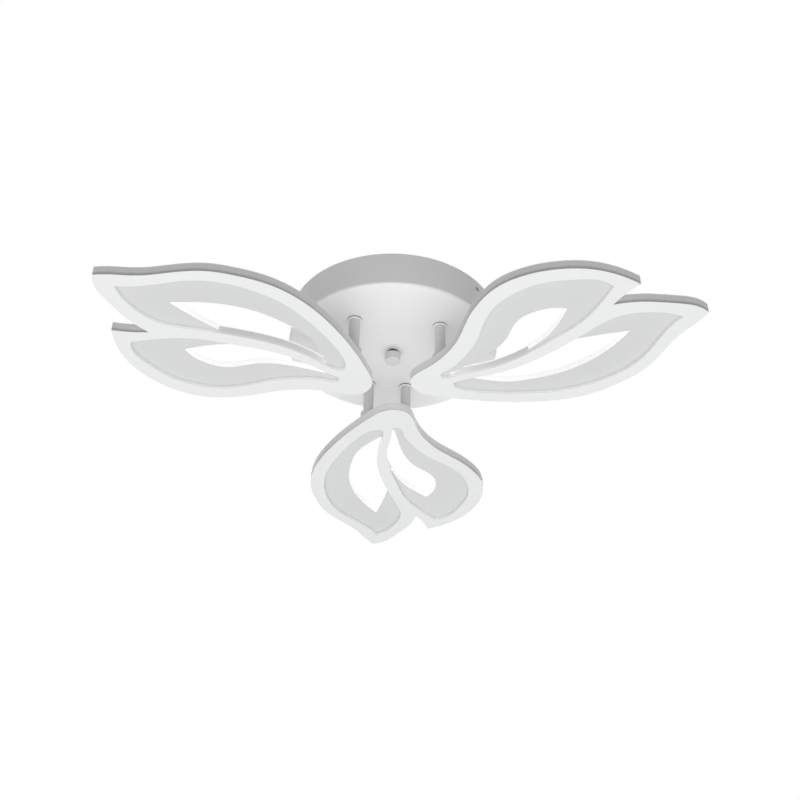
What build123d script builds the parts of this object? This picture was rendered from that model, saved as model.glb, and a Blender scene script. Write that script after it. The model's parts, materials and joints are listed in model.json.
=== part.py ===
from build123d import *
from math import atan2, cos, degrees, pi, radians, sin, sqrt, tan
import os

os.makedirs("parts", exist_ok=True)

# A ceiling chandelier: a round canopy carries three leaf-shaped light rings on short rods.
# Lengths are millimetres. Z points up, the ceiling is the plane z = 0, and the canopy's axis is the Z axis.
# One petal is drawn, pointing along +Y. The other two are the same petal turned by thirds about Z.

# Canopy cover
CANOPY_RADIUS = 100.0
CANOPY_HEIGHT = 36.0
CANOPY_WALL = 1.0
CANOPY_FLOOR = 1.2
CANOPY_CORNER = 3.0
CANOPY_FACE = -CANOPY_HEIGHT
CANOPY_INSIDE = CANOPY_FACE + CANOPY_FLOOR

# Petal, from its lit face up
PETAL_BOTTOM = -88.0
DIFFUSER_DEPTH = 8.0
LIP_DEPTH = 3.0
POCKET_DEPTH = DIFFUSER_DEPTH - LIP_DEPTH
LIP_TOP = PETAL_BOTTOM + LIP_DEPTH
BACK_BOTTOM = PETAL_BOTTOM + DIFFUSER_DEPTH
BACK_DEPTH = 1.0
BACK_TOP = BACK_BOTTOM + BACK_DEPTH
REBATE = 2.0
PLATE_PLAY = 0.1

# LED channel, board and chips, as distances in from the petal's outline
CHANNEL_OUTER = 3.0
CHANNEL_INNER = 8.0
BOARD_PLAY = 0.25
BOARD_DEPTH = 1.0
LED_INSET = (CHANNEL_OUTER + CHANNEL_INNER) / 2
LED_COUNT = 66
LED_LENGTH = 3.5
LED_WIDTH = 2.8
LED_DEPTH = 0.8
BOARD_SCREWS = 6

# Rods, their feet and their nuts
ROD_RADIUS = 5.0
ROD_BORE = 4.0
MAJOR_ROD = (-23.7, 54.6)
MINOR_ROD = (12.9, 58.1)
ROD_TOP = -30.5
FOOT_RADIUS = 7.5
FOOT_HEIGHT = 8.5
FOOT_SHOULDER = 2.0
COLLAR_RADIUS = 6.75
COLLAR_DEPTH = 1.2
NUT_FLATS = 14.0
NUT_DEPTH = 3.0
THREAD_PLAY = 0.02

# Centre fixing
STUD_RADIUS = 3.0
STUD_BOTTOM = -45.5
WASHER_RADIUS = 4.8
WASHER_DEPTH = 3.5
CAP_RADIUS = 7.4
CAP_HEIGHT = 8.5
CAP_BORE_DEPTH = 7.0
CAP_TOP = CANOPY_FACE - WASHER_DEPTH

# Mounting plate on the ceiling, drawn along X and turned to the side screws
PLATE_TURN = -38.5
PLATE_REACH = 93.0
PLATE_WIDTH = 30.0
PLATE_DEPTH = 1.5
TAB_WIDTH = 18.0
TAB_DROP = 14.0
CEILING_HOLE_RADIUS = 2.5
CEILING_HOLE_REACH = 70.0
CEILING_SLOT_LENGTH = 18.0
CEILING_SLOT_REACH = 36.0
SIDE_SCREW_Z = -8.5
SIDE_HOLE_RADIUS = 2.5
SIDE_SCREW_RADIUS = 2.0

# Small screw low in the canopy's wall
WALL_SCREW_TURN = 200.0
WALL_SCREW_Z = -29.0
WALL_SCREW_RADIUS = 1.5

# Driver and connectors on the canopy's floor
DRIVER_LENGTH = 78.0
DRIVER_WIDTH = 26.0
DRIVER_Y = -73.0
DRIVER_LOWER = 15.0
DRIVER_UPPER = 7.0
DRIVER_WALL = 1.6
LEAD_LEVEL = -22.0
LEAD_RADIUS = 1.2
MAINS_LEAD_RADIUS = 2.0
OUTPUT_LEAD_RADIUS = 1.6

# The petal's outer edge, from the long tip round the root to the short tip
OUTER_EDGE = [
    (-21.4, 296.2), (-26.2, 289.5), (-39.8, 264.3), (-59.2, 240.1), (-73.7, 218.8), (-81.8, 193.7),
    (-85.3, 168.1), (-82.8, 143.6), (-75.8, 121.1), (-59.7, 89.3), (-39.8, 60.0), (-20.0, 36.2), (-8.1, 25.9),
    (-0.2, 23.6), (8.6, 24.6), (15.4, 29.1), (19.8, 38.0), (25.0, 56.2), (33.7, 75.4), (48.2, 94.7),
    (67.7, 113.1), (84.2, 133.4), (93.8, 153.1), (96.6, 177.7), (90.4, 206.6), (76.4, 231.5),
    (56.6, 249.5), (40.8, 258.7),
]
# The notch between the two tips
SHORT_NOTCH_EDGE = [(40.8, 258.7), (34.1, 241.9), (26.8, 229.4)]
LONG_NOTCH_EDGE = [(26.8, 229.4), (17.3, 255.0), (7.3, 270.6), (-12.5, 292.8), (-21.4, 296.2)]
# The inner edges of the ring, each from its tip round the root and back along the bar
MAJOR_INNER_EDGE = [
    (-17.3, 275.8), (-36.7, 247.6), (-55.1, 226.3), (-67.2, 200.7), (-71.3, 168.3), (-69.1, 146.7),
    (-62.0, 124.1), (-50.0, 99.2), (-30.1, 69.0), (-22.2, 61.2), (-15.3, 58.3), (-9.4, 60.3),
    (-8.5, 66.7), (-10.5, 78.5), (-14.7, 103.0), (-14.0, 132.4), (-7.9, 162.0), (-0.7, 186.6),
    (6.9, 209.2), (10.0, 227.9), (4.6, 248.5), (-8.4, 268.5), (-17.3, 275.8),
]
MINOR_INNER_EDGE = [
    (48.4, 238.1), (58.7, 233.3), (73.2, 210.8), (80.8, 187.3), (79.5, 160.8), (71.9, 141.1),
    (53.9, 120.8), (34.4, 103.9), (19.8, 83.7), (11.2, 64.9), (7.3, 55.1), (4.9, 54.1), (-0.6, 68.7),
    (-4.8, 95.2), (-4.5, 117.8), (0.2, 142.4), (6.3, 165.0), (12.5, 186.7), (22.6, 206.4),
    (37.2, 225.7), (48.4, 238.1),
]
# The leaf-shaped holes: the free side, the tip side, and the middle of the bar that closes them
MAJOR_HOLE_SIDE = [
    (-11.0, 75.2), (-20.4, 84.3), (-33.3, 100.8), (-41.9, 127.3), (-44.6, 152.8), (-40.5, 182.3),
    (-29.6, 208.4), (-17.2, 227.4),
]
MAJOR_HOLE_TIP = [(-17.2, 227.4), (-12.9, 214.0), (-8.2, 196.3), (-4.6, 178.0)]
MAJOR_HOLE_BAR = [(1.5, 172.0), (-6.0, 142.0), (-9.5, 118.0), (-6.6, 75.0)]
MINOR_HOLE_SIDE = [
    (2.0, 62.0), (7.5, 89.5), (15.6, 116.0), (26.0, 131.5), (36.5, 141.5), (44.0, 152.5), (46.3, 166.0),
    (43.8, 181.0), (37.0, 192.0),
]
MINOR_HOLE_TIP = [(37.0, 192.0), (29.7, 185.4), (17.1, 172.0), (6.9, 155.7), (1.0, 140.0)]
MINOR_HOLE_BAR = [(-6.0, 138.0), (-9.5, 112.0), (-8.4, 92.0), (-4.6, 66.0)]
# Screws from the back plate down into the ring, at the tips, the root and along the bar
RING_SCREWS = [(-17.6, 281.0), (46.3, 243.7), (-1.5, 43.0), (-9.8, 108.0), (0.0, 165.0), (14.0, 213.0)]


def smooth_run(points):
    """Tangent arcs through the points, two from each point to the next."""
    guide = Edge.make_spline([Vector(*point) for point in points])
    places = [0.0] + [guide.param_at_point(Vector(*point)) for point in points[1:-1]] + [1.0]
    for a, b, place, next_place in zip(points, points[1:], places, places[1:]):
        start, end = Vector(*a), Vector(*b)
        leave, arrive = guide.tangent_at(place), guide.tangent_at(next_place)
        chord = end - start
        bend = 2 * (1 - leave.dot(arrive))
        along = chord.dot(leave + arrive)
        reach = (sqrt(along**2 + bend * chord.dot(chord)) - along) / bend
        middle = (start + end + (leave - arrive) * reach) * 0.5
        first = TangentArc(start, middle, tangent=leave)
        TangentArc(middle, end, tangent=first % 1)


def closed_outline(*sides):
    """A face bounded by smooth sides that meet at the ends of their point lists."""
    with BuildSketch() as shape:
        with BuildLine():
            for side in sides:
                smooth_run(side)
        make_face()
    return shape.sketch


def hole_outline(free_side, tip_side, bar_side):
    """A leaf-shaped hole whose closing side runs along the middle of the bar."""
    with BuildSketch() as shape:
        with BuildLine():
            smooth_run(free_side)
            smooth_run(tip_side)
            Line(tip_side[-1], bar_side[0])
            smooth_run(bar_side)
            Line(bar_side[-1], free_side[0])
        make_face()
    return shape.sketch


def grown(shape, amount):
    """The shape with its outline moved outwards, or inwards where the amount is negative."""
    with BuildSketch() as moved:
        add(shape)
        offset(amount=amount, mode=Mode.REPLACE)
    return moved.sketch


def without(shape, *others):
    """The shape with the others taken out of it."""
    with BuildSketch() as result:
        add(shape)
        for other in others:
            add(other, mode=Mode.SUBTRACT)
    return result.sketch


def common(shape, other):
    """What two shapes share."""
    with BuildSketch() as result:
        add(shape)
        add(other, mode=Mode.INTERSECT)
    return result.sketch


def turned(x, y, angle):
    """A plan point turned about the canopy's axis."""
    c, s = cos(radians(angle)), sin(radians(angle))
    return (x * c - y * s, x * s + y * c)


def sideways(angle, reach, z):
    """A plane square to a radius of the canopy, facing out."""
    c, s = cos(radians(angle)), sin(radians(angle))
    return Plane(origin=(reach * c, reach * s, z), x_dir=(-s, c, 0), z_dir=(c, s, 0))


# Plan outlines of the petal
outline = closed_outline(OUTER_EDGE, SHORT_NOTCH_EDGE, LONG_NOTCH_EDGE)
major_inner = closed_outline(MAJOR_INNER_EDGE)
minor_inner = closed_outline(MINOR_INNER_EDGE)
major_cut = hole_outline(MAJOR_HOLE_SIDE, MAJOR_HOLE_TIP, MAJOR_HOLE_BAR)
minor_cut = hole_outline(MINOR_HOLE_SIDE, MINOR_HOLE_TIP, MINOR_HOLE_BAR)
major_hole = common(major_cut, major_inner)
minor_hole = common(minor_cut, minor_inner)
channel = without(grown(outline, -CHANNEL_OUTER), grown(outline, -CHANNEL_INNER))
board_band = without(
    grown(outline, -CHANNEL_OUTER - BOARD_PLAY), grown(outline, -CHANNEL_INNER + BOARD_PLAY)
)
led_line = grown(outline, -LED_INSET).faces()[0].outer_wire()


def spot_on_led_line(share):
    """A point and heading on the middle of the LED channel, by its share of the way round."""
    point = led_line.position_at(share)
    heading = led_line.tangent_at(share)
    return (point.X, point.Y), degrees(atan2(heading.Y, heading.X))


led_spots = [spot_on_led_line(i / LED_COUNT) for i in range(LED_COUNT)]
screw_step = LED_COUNT // BOARD_SCREWS
board_screw_spots = [spot_on_led_line((screw_step * i + 4.5) / LED_COUNT)[0] for i in range(BOARD_SCREWS)]

# Opal ring of one petal, with the double leaf and its slanting bar in one piece
BOARD_SCREW_RADIUS = 0.98
RING_SCREW_RADIUS = 1.23
RING_SCREW_BOTTOM = -84.5
with BuildPart() as diffuser:
    with BuildSketch(Plane.XY.offset(PETAL_BOTTOM)):
        add(without(outline, major_inner, minor_inner))
    extrude(amount=DIFFUSER_DEPTH)
    # Pockets for the light plates and the channel for the LED board, all from above
    with BuildSketch(Plane.XY.offset(LIP_TOP)):
        add(without(grown(major_inner, REBATE), major_cut))
        add(without(grown(minor_inner, REBATE), minor_cut))
        add(channel)
        with Locations(*RING_SCREWS):
            Circle(RING_SCREW_RADIUS + THREAD_PLAY)
    extrude(amount=POCKET_DEPTH, mode=Mode.SUBTRACT)

# Frosted plates that lie in the pockets, set back from the lit face by the lip
with BuildPart() as major_plate:
    with BuildSketch(Plane.XY.offset(LIP_TOP)):
        add(without(grown(major_inner, REBATE - PLATE_PLAY), major_cut))
    extrude(amount=POCKET_DEPTH)

with BuildPart() as minor_plate:
    with BuildSketch(Plane.XY.offset(LIP_TOP)):
        add(without(grown(minor_inner, REBATE - PLATE_PLAY), minor_cut))
    extrude(amount=POCKET_DEPTH)

# Sheet-steel back of the petal, open only where one can look through it
with BuildPart() as back_plate:
    with BuildSketch(Plane.XY.offset(BACK_BOTTOM)):
        add(without(outline, major_hole, minor_hole))
        with Locations(MAJOR_ROD, MINOR_ROD):
            Circle(ROD_BORE, mode=Mode.SUBTRACT)
        with Locations(*RING_SCREWS):
            Circle(RING_SCREW_RADIUS + 0.2, mode=Mode.SUBTRACT)
        with Locations(*board_screw_spots):
            Circle(BOARD_SCREW_RADIUS + THREAD_PLAY, mode=Mode.SUBTRACT)
    extrude(amount=BACK_DEPTH)

# LED board under the back plate, its chips facing down into the channel
BOARD_BOTTOM = BACK_BOTTOM - BOARD_DEPTH
with BuildPart() as led_board:
    with BuildSketch(Plane.XY.offset(BOARD_BOTTOM)):
        add(board_band)
        with Locations(*board_screw_spots):
            Circle(BOARD_SCREW_RADIUS + 0.12, mode=Mode.SUBTRACT)
    extrude(amount=BOARD_DEPTH)

with BuildPart() as leds:
    with BuildSketch(Plane.XY.offset(BOARD_BOTTOM - LED_DEPTH)):
        for spot, heading in led_spots:
            with Locations(Location((spot[0], spot[1], 0), (0, 0, heading))):
                Rectangle(LED_LENGTH, LED_WIDTH)
    extrude(amount=LED_DEPTH)

BOARD_SCREW_HEAD = 1.8
BOARD_SCREW_HEAD_DEPTH = 1.2
with BuildPart() as board_screws:
    with BuildSketch(Plane.XY.offset(BOARD_BOTTOM - BOARD_SCREW_HEAD_DEPTH)):
        with Locations(*board_screw_spots):
            Circle(BOARD_SCREW_HEAD)
    extrude(amount=BOARD_SCREW_HEAD_DEPTH)
    with BuildSketch(Plane.XY.offset(BOARD_BOTTOM)):
        with Locations(*board_screw_spots):
            Circle(BOARD_SCREW_RADIUS)
    extrude(amount=BOARD_DEPTH + 0.8 * BACK_DEPTH)

RING_SCREW_HEAD = 2.6
RING_SCREW_HEAD_DEPTH = 1.4
CROSS_SLOT_LENGTH = 2.4
CROSS_SLOT_WIDTH = 0.5
CROSS_SLOT_DEPTH = 0.8
with BuildPart() as ring_screws:
    with BuildSketch(Plane.XY.offset(RING_SCREW_BOTTOM)):
        with Locations(*RING_SCREWS):
            Circle(RING_SCREW_RADIUS)
    extrude(amount=BACK_TOP - RING_SCREW_BOTTOM)
    with BuildSketch(Plane.XY.offset(BACK_TOP)):
        with Locations(*RING_SCREWS):
            Circle(RING_SCREW_HEAD)
    extrude(amount=RING_SCREW_HEAD_DEPTH)
    fillet(ring_screws.faces().sort_by(Axis.Z)[-len(RING_SCREWS):].edges(), radius=0.8)
    # Cross slots
    with BuildSketch(Plane.XY.offset(BACK_TOP + RING_SCREW_HEAD_DEPTH)):
        with Locations(*RING_SCREWS):
            Rectangle(CROSS_SLOT_LENGTH, CROSS_SLOT_WIDTH)
            Rectangle(CROSS_SLOT_WIDTH, CROSS_SLOT_LENGTH)
    extrude(amount=-CROSS_SLOT_DEPTH, mode=Mode.SUBTRACT)

# Round feet on the back plate that the rods stand in
ROD_BOTTOM = BACK_TOP + FOOT_SHOULDER
with BuildPart() as rod_feet:
    with BuildSketch(Plane.XY.offset(BACK_TOP)):
        with Locations(MAJOR_ROD, MINOR_ROD):
            Circle(FOOT_RADIUS)
            Circle(ROD_BORE, mode=Mode.SUBTRACT)
    extrude(amount=FOOT_HEIGHT)
    foot_rims = rod_feet.faces().sort_by(Axis.Z)[-2:].edges().filter_by(lambda edge: edge.radius > ROD_RADIUS)
    chamfer(foot_rims, length=0.6)
    with BuildSketch(Plane.XY.offset(ROD_BOTTOM)):
        with Locations(MAJOR_ROD, MINOR_ROD):
            Circle(ROD_RADIUS + THREAD_PLAY)
    extrude(amount=FOOT_HEIGHT, mode=Mode.SUBTRACT)


def rod_at(spot):
    """A hollow rod from its foot to just above its nut, with a collar under the canopy."""
    with BuildPart() as rod:
        with BuildSketch(Plane.XY.offset(ROD_BOTTOM)):
            with Locations(spot):
                Circle(ROD_RADIUS)
        extrude(amount=ROD_TOP - ROD_BOTTOM)
        with BuildSketch(Plane.XY.offset(CANOPY_FACE - COLLAR_DEPTH)):
            with Locations(spot):
                Circle(COLLAR_RADIUS)
        extrude(amount=COLLAR_DEPTH)
        circles = rod.edges().filter_by(GeomType.CIRCLE)
        collar_rims = circles.filter_by(lambda edge: edge.radius > ROD_RADIUS + 0.5)
        fillet(collar_rims.sort_by(Axis.Z)[0], radius=0.4)
        with BuildSketch(Plane.XY.offset(ROD_BOTTOM)):
            with Locations(spot):
                Circle(ROD_BORE)
        extrude(amount=ROD_TOP - ROD_BOTTOM, mode=Mode.SUBTRACT)
    return rod.part


major_rod = rod_at(MAJOR_ROD)
minor_rod = rod_at(MINOR_ROD)

with BuildPart() as rod_nuts:
    with BuildSketch(Plane.XY.offset(CANOPY_INSIDE)):
        with Locations(MAJOR_ROD, MINOR_ROD):
            RegularPolygon(radius=NUT_FLATS / 2, side_count=6, major_radius=False)
            Circle(ROD_RADIUS + THREAD_PLAY, mode=Mode.SUBTRACT)
    extrude(amount=NUT_DEPTH)

# Canopy cover: a spun steel cup with a rounded corner, pierced for the rods, the stud and the side screws
SIDE_TURNS = (PLATE_TURN, PLATE_TURN + 180)
STUD_HOLE_RADIUS = STUD_RADIUS + 0.3
ROD_HOLE_RADIUS = ROD_RADIUS + 0.1
corner_in = CANOPY_CORNER - CANOPY_WALL
with BuildPart() as canopy_cover:
    with BuildSketch(Plane.XZ):
        with BuildLine():
            wall = Line((CANOPY_RADIUS, 0), (CANOPY_RADIUS, CANOPY_FACE + CANOPY_CORNER))
            bend = JernArc(wall @ 1, (0, -1), CANOPY_CORNER, -90)
            face = Line(bend @ 1, (0, CANOPY_FACE))
            axis = Line(face @ 1, (0, CANOPY_INSIDE))
            floor = Line(axis @ 1, (CANOPY_RADIUS - CANOPY_WALL - corner_in, CANOPY_INSIDE))
            inner_bend = JernArc(floor @ 1, (1, 0), corner_in, 90)
            inner_wall = Line(inner_bend @ 1, (CANOPY_RADIUS - CANOPY_WALL, 0))
            Line(inner_wall @ 1, wall @ 0)
        make_face()
    revolve(axis=Axis.Z)
    with BuildSketch(Plane.XY.offset(CANOPY_FACE)):
        Circle(STUD_HOLE_RADIUS)
        with PolarLocations(0, 3):
            with Locations(MAJOR_ROD, MINOR_ROD):
                Circle(ROD_HOLE_RADIUS)
    extrude(amount=CANOPY_FLOOR, mode=Mode.SUBTRACT)
    for turn in SIDE_TURNS:
        with BuildSketch(sideways(turn, CANOPY_RADIUS - 5, SIDE_SCREW_Z)):
            Circle(SIDE_HOLE_RADIUS)
        extrude(amount=10, mode=Mode.SUBTRACT)
    with BuildSketch(sideways(WALL_SCREW_TURN, CANOPY_RADIUS - 5, WALL_SCREW_Z)):
        Circle(WALL_SCREW_RADIUS + THREAD_PLAY)
    extrude(amount=10, mode=Mode.SUBTRACT)

# Threaded bushes behind the side holes, shaped to the wall's inside
BUSH_RADIUS = 4.5
BUSH_INNER = 96.0
inner_radius = CANOPY_RADIUS - CANOPY_WALL
with BuildPart() as side_bushes:
    for turn in SIDE_TURNS:
        with BuildSketch(sideways(turn, BUSH_INNER, SIDE_SCREW_Z)):
            Circle(BUSH_RADIUS)
            Circle(SIDE_SCREW_RADIUS + THREAD_PLAY, mode=Mode.SUBTRACT)
        extrude(amount=CANOPY_RADIUS - BUSH_INNER)
    Cylinder(inner_radius, 4 * CANOPY_HEIGHT, mode=Mode.INTERSECT)

# Set screws in the bushes, drawn backed off from the plate's tabs
SIDE_SCREW_TIP = 93.6
SIDE_SCREW_END = 98.0
SIDE_SCREW_SOCKET = 1.0
SIDE_SCREW_SOCKET_DEPTH = 2.0
with BuildPart() as side_screws:
    for turn in SIDE_TURNS:
        with BuildSketch(sideways(turn, SIDE_SCREW_TIP, SIDE_SCREW_Z)):
            Circle(SIDE_SCREW_RADIUS)
        extrude(amount=SIDE_SCREW_END - SIDE_SCREW_TIP)
        with BuildSketch(sideways(turn, SIDE_SCREW_END, SIDE_SCREW_Z)):
            RegularPolygon(radius=SIDE_SCREW_SOCKET, side_count=6, major_radius=False)
        extrude(amount=-SIDE_SCREW_SOCKET_DEPTH, mode=Mode.SUBTRACT)

# Small domed screw low in the wall, and its nut inside
WALL_SCREW_HEAD = 2.7
WALL_SCREW_HEAD_OUT = CANOPY_RADIUS + 1.4
WALL_SCREW_INNER = 93.0
WALL_SCREW_SOCKET = 0.9
WALL_SCREW_SOCKET_DEPTH = 1.3
WALL_NUT_FLATS = 5.5
WALL_NUT_DEPTH = 2.4
with BuildPart() as wall_screw:
    with BuildSketch(sideways(WALL_SCREW_TURN, inner_radius, WALL_SCREW_Z)):
        Circle(WALL_SCREW_HEAD)
    extrude(amount=WALL_SCREW_HEAD_OUT - inner_radius)
    Cylinder(CANOPY_RADIUS, 4 * CANOPY_HEIGHT, mode=Mode.SUBTRACT)
    fillet(wall_screw.faces().filter_by(GeomType.PLANE).edges(), radius=0.7)
    with BuildSketch(sideways(WALL_SCREW_TURN, WALL_SCREW_INNER, WALL_SCREW_Z)):
        Circle(WALL_SCREW_RADIUS)
    extrude(amount=CANOPY_RADIUS - WALL_SCREW_INNER + 0.6)
    with BuildSketch(sideways(WALL_SCREW_TURN, WALL_SCREW_HEAD_OUT, WALL_SCREW_Z)):
        RegularPolygon(radius=WALL_SCREW_SOCKET, side_count=6, major_radius=False)
    extrude(amount=-WALL_SCREW_SOCKET_DEPTH, mode=Mode.SUBTRACT)

with BuildPart() as wall_screw_nut:
    with BuildSketch(sideways(WALL_SCREW_TURN, inner_radius - WALL_NUT_DEPTH, WALL_SCREW_Z)):
        RegularPolygon(radius=WALL_NUT_FLATS / 2, side_count=6, major_radius=False)
        Circle(WALL_SCREW_RADIUS + THREAD_PLAY, mode=Mode.SUBTRACT)
    extrude(amount=WALL_NUT_DEPTH)
    Cylinder(inner_radius, 4 * CANOPY_HEIGHT, mode=Mode.INTERSECT)

# Mounting plate: a flat bar on the ceiling with a bent tab at each end
EARTH_SPOT = (26.0, 8.0)
EARTH_SCREW_RADIUS = 2.0
EARTH_WASHER_RADIUS = 4.5
EARTH_WASHER_DEPTH = 1.0
EARTH_HEAD_RADIUS = 3.8
EARTH_HEAD_DEPTH = 2.6
EARTH_WASHER_BOTTOM = -PLATE_DEPTH - EARTH_WASHER_DEPTH
EARTH_HEAD_BOTTOM = EARTH_WASHER_BOTTOM - EARTH_HEAD_DEPTH
with BuildPart() as plate_blank:
    with BuildSketch():
        RectangleRounded(2 * PLATE_REACH, PLATE_WIDTH, 5)
        with Locations((CEILING_HOLE_REACH, 0), (-CEILING_HOLE_REACH, 0)):
            Circle(CEILING_HOLE_RADIUS, mode=Mode.SUBTRACT)
        with Locations((CEILING_SLOT_REACH, 0), (-CEILING_SLOT_REACH, 0)):
            SlotOverall(CEILING_SLOT_LENGTH, 2 * CEILING_HOLE_RADIUS, mode=Mode.SUBTRACT)
        with Locations(EARTH_SPOT):
            Circle(EARTH_SCREW_RADIUS + THREAD_PLAY, mode=Mode.SUBTRACT)
        Circle(STUD_RADIUS + THREAD_PLAY, mode=Mode.SUBTRACT)
    extrude(amount=-PLATE_DEPTH)
    with BuildSketch(Plane.XY.offset(-PLATE_DEPTH)):
        with Locations((PLATE_REACH - PLATE_DEPTH / 2, 0), (-PLATE_REACH + PLATE_DEPTH / 2, 0)):
            Rectangle(PLATE_DEPTH, TAB_WIDTH)
    extrude(amount=PLATE_DEPTH - TAB_DROP)
    with BuildSketch(Plane.YZ.offset(-PLATE_REACH)):
        with Locations((0, SIDE_SCREW_Z)):
            Circle(SIDE_SCREW_RADIUS)
    extrude(amount=2 * PLATE_REACH, mode=Mode.SUBTRACT)
mounting_plate = plate_blank.part.rotate(Axis.Z, PLATE_TURN)

# Threaded stud welded under the plate by its collar
STUD_COLLAR_RADIUS = 6.0
STUD_COLLAR_DEPTH = 2.0
with BuildPart() as centre_stud:
    with BuildSketch(Plane.XY.offset(STUD_BOTTOM)):
        Circle(STUD_RADIUS)
    extrude(amount=-STUD_BOTTOM - 0.1)
    chamfer(centre_stud.faces().sort_by(Axis.Z)[0].edges(), length=0.5)
    with BuildSketch(Plane.XY.offset(-PLATE_DEPTH - STUD_COLLAR_DEPTH)):
        Circle(STUD_COLLAR_RADIUS)
    extrude(amount=STUD_COLLAR_DEPTH)

with BuildPart() as earth_washer_blank:
    with BuildSketch(Plane.XY.offset(EARTH_WASHER_BOTTOM)):
        with Locations(EARTH_SPOT):
            Circle(EARTH_WASHER_RADIUS)
            Circle(EARTH_SCREW_RADIUS + 0.2, mode=Mode.SUBTRACT)
    extrude(amount=EARTH_WASHER_DEPTH)
earth_washer = earth_washer_blank.part.rotate(Axis.Z, PLATE_TURN)

# Earth screw with a slotted head, just short of the ceiling
with BuildPart() as earth_screw_blank:
    with BuildSketch(Plane.XY.offset(EARTH_HEAD_BOTTOM)):
        with Locations(EARTH_SPOT):
            Circle(EARTH_HEAD_RADIUS)
    extrude(amount=EARTH_HEAD_DEPTH)
    with BuildSketch(Plane.XY.offset(EARTH_WASHER_BOTTOM)):
        with Locations(EARTH_SPOT):
            Circle(EARTH_SCREW_RADIUS)
    extrude(amount=-EARTH_WASHER_BOTTOM - 0.1)
    with BuildSketch(Plane.XY.offset(EARTH_HEAD_BOTTOM)):
        with Locations(EARTH_SPOT):
            Rectangle(6.0, 0.9)
    extrude(amount=1.4, mode=Mode.SUBTRACT)
earth_screw = earth_screw_blank.part.rotate(Axis.Z, PLATE_TURN)

# Rubber spacer that shows as the dark neck, and the round cap nut on the stud
with BuildPart() as cap_washer:
    with BuildSketch(Plane.XY.offset(CAP_TOP)):
        Circle(WASHER_RADIUS)
        Circle(STUD_HOLE_RADIUS, mode=Mode.SUBTRACT)
    extrude(amount=WASHER_DEPTH)

CAP_PLAY = 0.05
with BuildPart() as cap_nut:
    with BuildSketch(Plane.XY.offset(CAP_TOP - CAP_HEIGHT)):
        Circle(CAP_RADIUS)
    extrude(amount=CAP_HEIGHT)
    fillet(cap_nut.faces().sort_by(Axis.Z)[0].edges(), radius=0.9)
    chamfer(cap_nut.faces().sort_by(Axis.Z)[-1].edges(), length=0.5)
    with BuildSketch(Plane.XY.offset(CAP_TOP)):
        Circle(STUD_RADIUS + CAP_PLAY)
    extrude(amount=-CAP_BORE_DEPTH, mode=Mode.SUBTRACT)

# Driver: two half cases round a circuit board, standing on the canopy's floor
CASE_CORNER = 3.0
POST_RADIUS = 2.0
POST_SPACING = (60.0, 14.0)
SEAM = CANOPY_INSIDE + DRIVER_LOWER
CIRCUIT_BOTTOM = CANOPY_INSIDE + 5.0
CIRCUIT_DEPTH = 1.6
CIRCUIT_TOP = CIRCUIT_BOTTOM + CIRCUIT_DEPTH
with BuildPart() as driver_lower_case:
    with BuildSketch(Plane.XY.offset(CANOPY_INSIDE)):
        with Locations((0, DRIVER_Y)):
            RectangleRounded(DRIVER_LENGTH, DRIVER_WIDTH, CASE_CORNER)
    extrude(amount=DRIVER_LOWER)
    with BuildSketch(Plane.XY.offset(CANOPY_INSIDE + DRIVER_WALL)):
        with Locations((0, DRIVER_Y)):
            RectangleRounded(
                DRIVER_LENGTH - 2 * DRIVER_WALL, DRIVER_WIDTH - 2 * DRIVER_WALL, CASE_CORNER - DRIVER_WALL
            )
    extrude(amount=DRIVER_LOWER, mode=Mode.SUBTRACT)
    # Posts under the circuit board
    with BuildSketch(Plane.XY.offset(CANOPY_INSIDE + DRIVER_WALL)):
        with Locations((0, DRIVER_Y)):
            with GridLocations(POST_SPACING[0], POST_SPACING[1], 2, 2):
                Circle(POST_RADIUS)
    extrude(amount=CIRCUIT_BOTTOM - CANOPY_INSIDE - DRIVER_WALL)

with BuildPart() as driver_upper_case:
    with BuildSketch(Plane.XY.offset(SEAM)):
        with Locations((0, DRIVER_Y)):
            RectangleRounded(DRIVER_LENGTH, DRIVER_WIDTH, CASE_CORNER)
    extrude(amount=DRIVER_UPPER)
    fillet(driver_upper_case.faces().sort_by(Axis.Z)[-1].edges(), radius=1.0)
    with BuildSketch(Plane.XY.offset(SEAM)):
        with Locations((0, DRIVER_Y)):
            RectangleRounded(
                DRIVER_LENGTH - 2 * DRIVER_WALL, DRIVER_WIDTH - 2 * DRIVER_WALL, CASE_CORNER - DRIVER_WALL
            )
    extrude(amount=DRIVER_UPPER - DRIVER_WALL, mode=Mode.SUBTRACT)

CIRCUIT_LENGTH = 70.0
CIRCUIT_WIDTH = 21.0
with BuildPart() as driver_circuit:
    with BuildSketch(Plane.XY.offset(CIRCUIT_BOTTOM)):
        with Locations((0, DRIVER_Y)):
            Rectangle(CIRCUIT_LENGTH, CIRCUIT_WIDTH)
    extrude(amount=CIRCUIT_DEPTH)

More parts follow.
